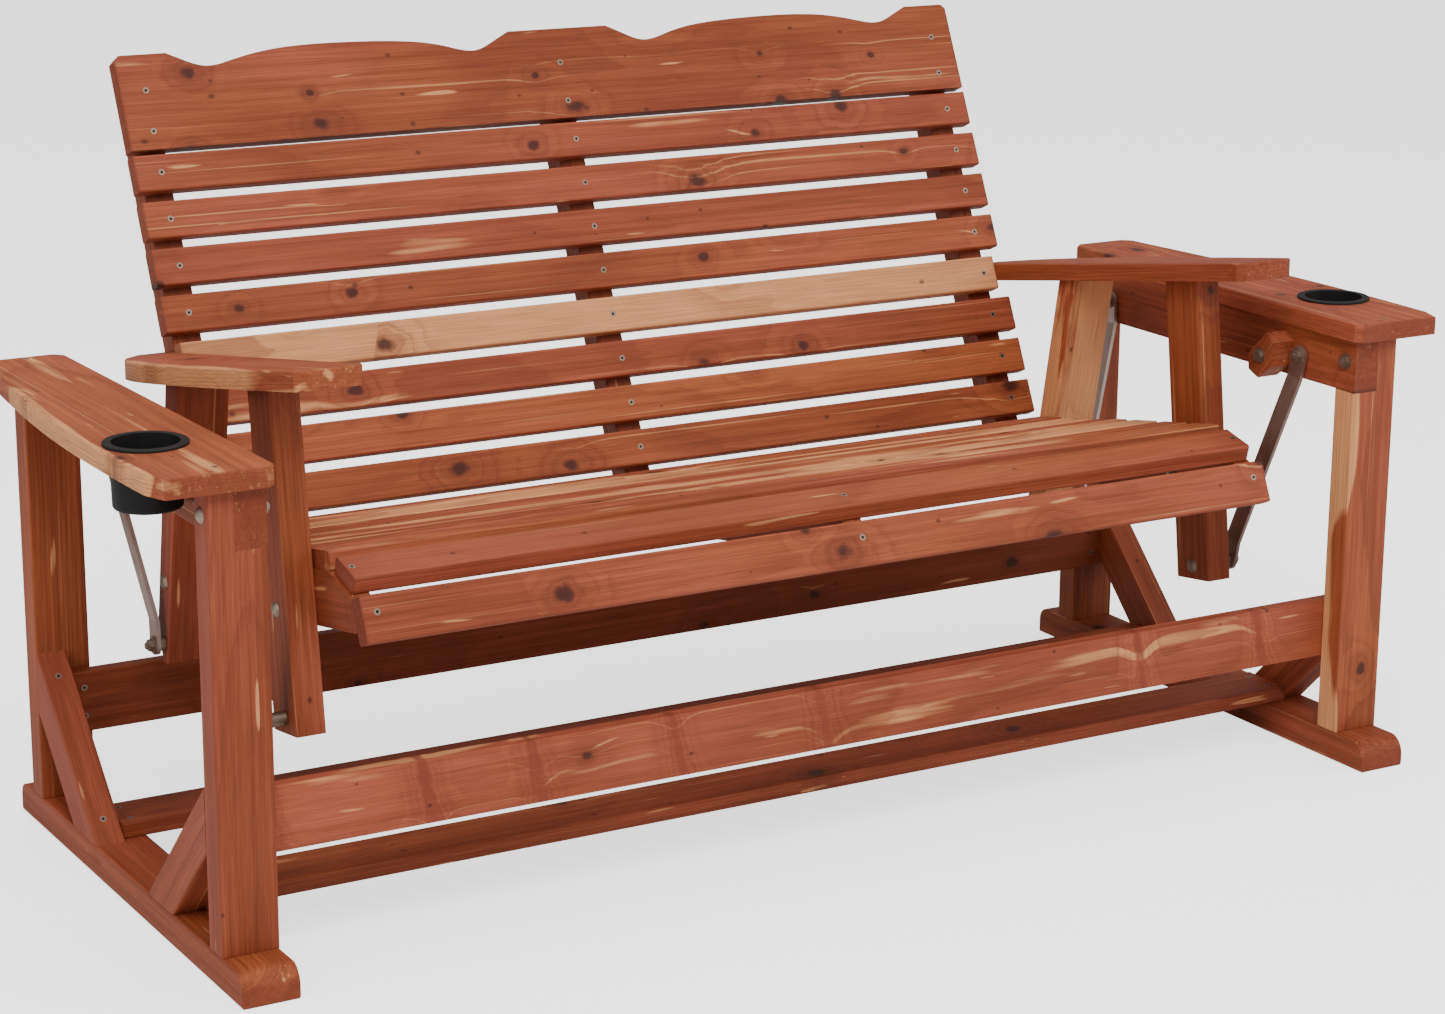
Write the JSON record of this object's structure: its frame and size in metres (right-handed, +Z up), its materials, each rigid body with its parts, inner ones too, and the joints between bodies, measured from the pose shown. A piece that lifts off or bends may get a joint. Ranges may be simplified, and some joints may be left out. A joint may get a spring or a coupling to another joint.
{
  "type": "glider bench",
  "caption": "Cedar two-seat glider bench: slatted seat and high back hung on steel links in a fixed frame with flat arms and cup holders.",
  "frame": {"origin": "bottom centre of the whole bench, on the ground", "axes": "+X along the bench to a viewer's right, +Y from the front to the back, +Z up"},
  "size_m": [1.7372, 0.8576, 0.9098],
  "materials": {
    "cedar": "satin",
    "link_steel": "satin",
    "zinc_hardware": "satin",
    "cup_plastic": "matte"
  },
  "bodies": {
    "base": {"brace_front_left": "cedar", "brace_front_right": "cedar", "brace_rear_left": "cedar", "brace_rear_right": "cedar", "cup_holder_left": "cup_plastic", "cup_holder_right": "cup_plastic", "foot_left": "cedar", "foot_right": "cedar", "frame_bolts": "zinc_hardware", "frame_screws": "zinc_hardware", "outer_arm_left": "cedar", "outer_arm_right": "cedar", "post_front_left": "cedar", "post_front_right": "cedar", "post_rear_left": "cedar", "post_rear_right": "cedar", "side_rail_left": "cedar", "side_rail_right": "cedar", "stop_block_left": "cedar", "stop_block_right": "cedar", "stretcher_front_lower": "cedar", "stretcher_front_upper": "cedar", "stretcher_rear_lower": "cedar", "stretcher_rear_upper": "cedar"},
    "link_front_left": {"link_front_left": "link_steel"},
    "seat": {"arm_support_front_left": "cedar", "arm_support_front_right": "cedar", "arm_support_rear_left": "cedar", "arm_support_rear_right": "cedar", "back_slat_1": "cedar", "back_slat_2": "cedar", "back_slat_3": "cedar", "back_slat_4": "cedar", "back_slat_5": "cedar", "back_slat_6": "cedar", "back_slat_7": "cedar", "back_slat_8": "cedar", "back_support_centre": "cedar", "back_support_left": "cedar", "back_support_right": "cedar", "crest_board": "cedar", "front_fascia": "cedar", "inner_arm_left": "cedar", "inner_arm_right": "cedar", "nosing_slat": "cedar", "seat_bolts": "zinc_hardware", "seat_rib_centre": "cedar", "seat_rib_left": "cedar", "seat_rib_right": "cedar", "seat_screws": "zinc_hardware", "seat_slat_1": "cedar", "seat_slat_2": "cedar", "seat_slat_3": "cedar", "seat_slat_4": "cedar", "seat_slat_5": "cedar", "seat_slat_6": "cedar"},
    "link_front_right": {"link_front_right": "link_steel"},
    "link_rear_left": {"link_rear_left": "link_steel"},
    "link_rear_right": {"link_rear_right": "link_steel"}
  },
  "joints": [
    {"name": "front_left_swing", "type": "hinge", "parent": "base", "child": "link_front_left", "pos_m": [-0.731, -0.2728, 0.52], "axis": [1, 0, 0], "range_deg": [-10, 10]},
    {"name": "seat_pitch", "type": "hinge", "parent": "link_front_left", "child": "seat", "pos_m": [-0.682, -0.2113, 0.239], "axis": [1, 0, 0], "range_deg": [-12.5, 12.5]},
    {"name": "front_right_swing", "type": "hinge", "parent": "base", "child": "link_front_right", "pos_m": [0.731, -0.2728, 0.52], "axis": [1, 0, 0], "range_deg": [-10.5, 10.5]},
    {"name": "rear_left_swing", "type": "hinge", "parent": "base", "child": "link_rear_left", "pos_m": [-0.731, 0.1322, 0.52], "axis": [1, 0, 0], "range_deg": [-10.5, 10.5]},
    {"name": "rear_right_swing", "type": "hinge", "parent": "base", "child": "link_rear_right", "pos_m": [0.731, 0.1322, 0.52], "axis": [1, 0, 0], "range_deg": [-10.5, 10.5]}
  ],
  "couplings": [
    {"joint": "seat_pitch", "follows": "front_left_swing", "ratio": -1.2236},
    {"joint": "front_right_swing", "follows": "front_left_swing", "ratio": 1},
    {"joint": "rear_left_swing", "follows": "front_left_swing", "ratio": 1},
    {"joint": "rear_right_swing", "follows": "front_left_swing", "ratio": 1}
  ]
}
